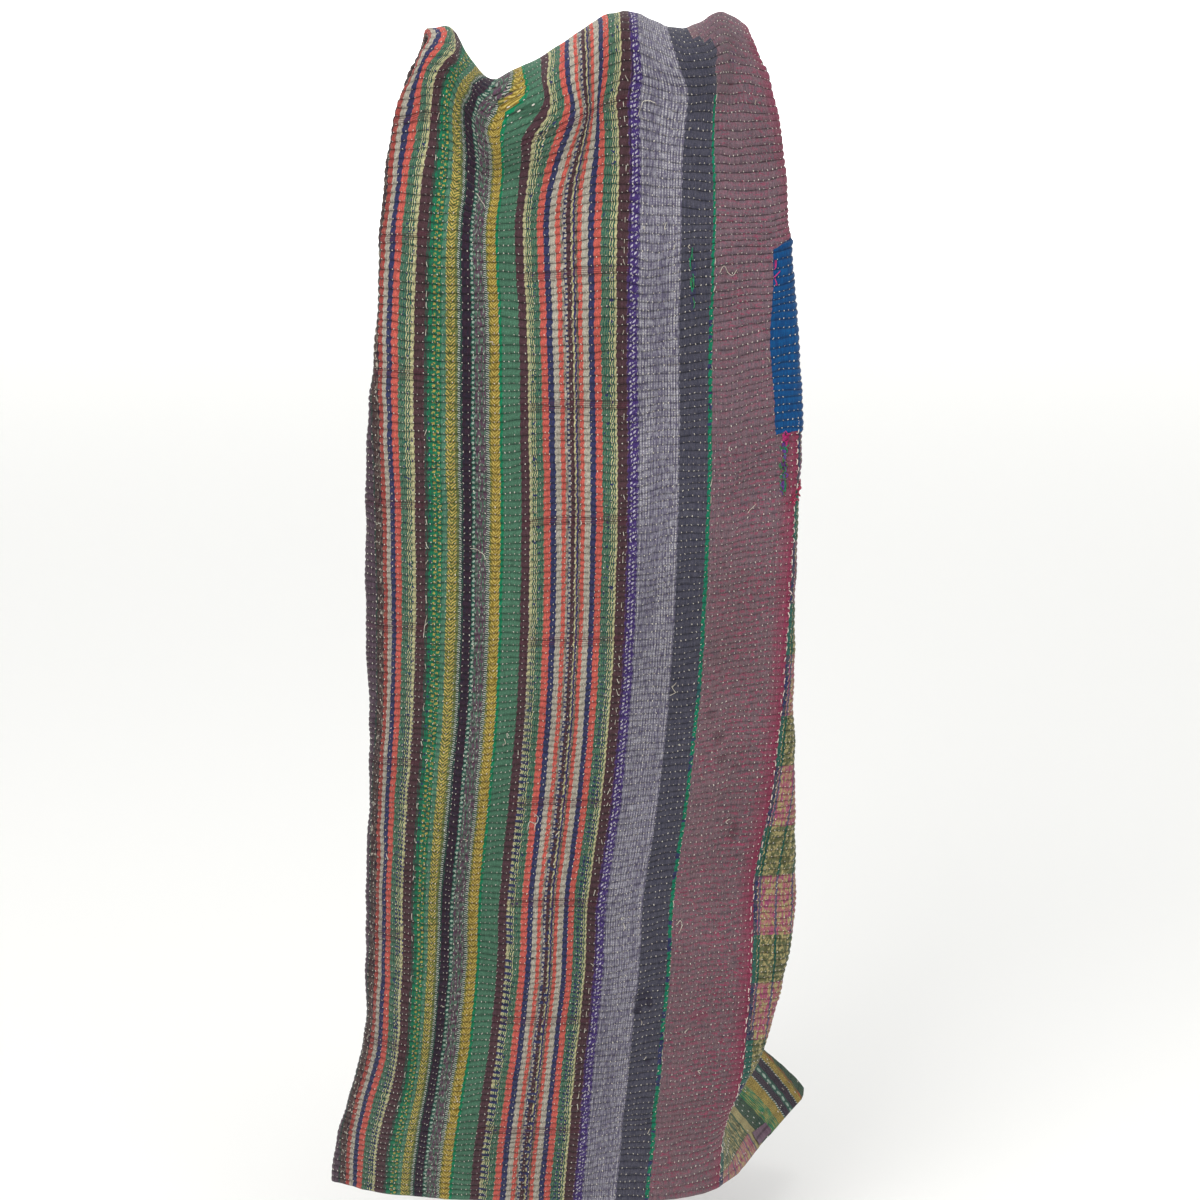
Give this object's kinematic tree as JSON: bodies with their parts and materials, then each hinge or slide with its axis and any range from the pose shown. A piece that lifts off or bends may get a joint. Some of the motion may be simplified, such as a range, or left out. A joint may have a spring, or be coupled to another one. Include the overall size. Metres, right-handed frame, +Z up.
{
  "type": "kantha quilt",
  "caption": "Striped and patched kantha quilt, folded lengthwise and hung over a holder, its front longer than its back, with the lower right side turned away behind.",
  "frame": {"origin": "on the top fold at its middle, where the holder carries the quilt", "axes": "+Z up along the hanging cloth, the front of the quilt faces -Y, +X to the right as the front is seen"},
  "size_m": [0.5342, 0.2955, 1.2428],
  "materials": {
    "striped_cotton": "worn, matte",
    "blue_cotton": "worn, matte"
  },
  "bodies": {
    "root": {"quilt": "striped_cotton", "blue_patch": "blue_cotton"}
  },
  "joints": []
}
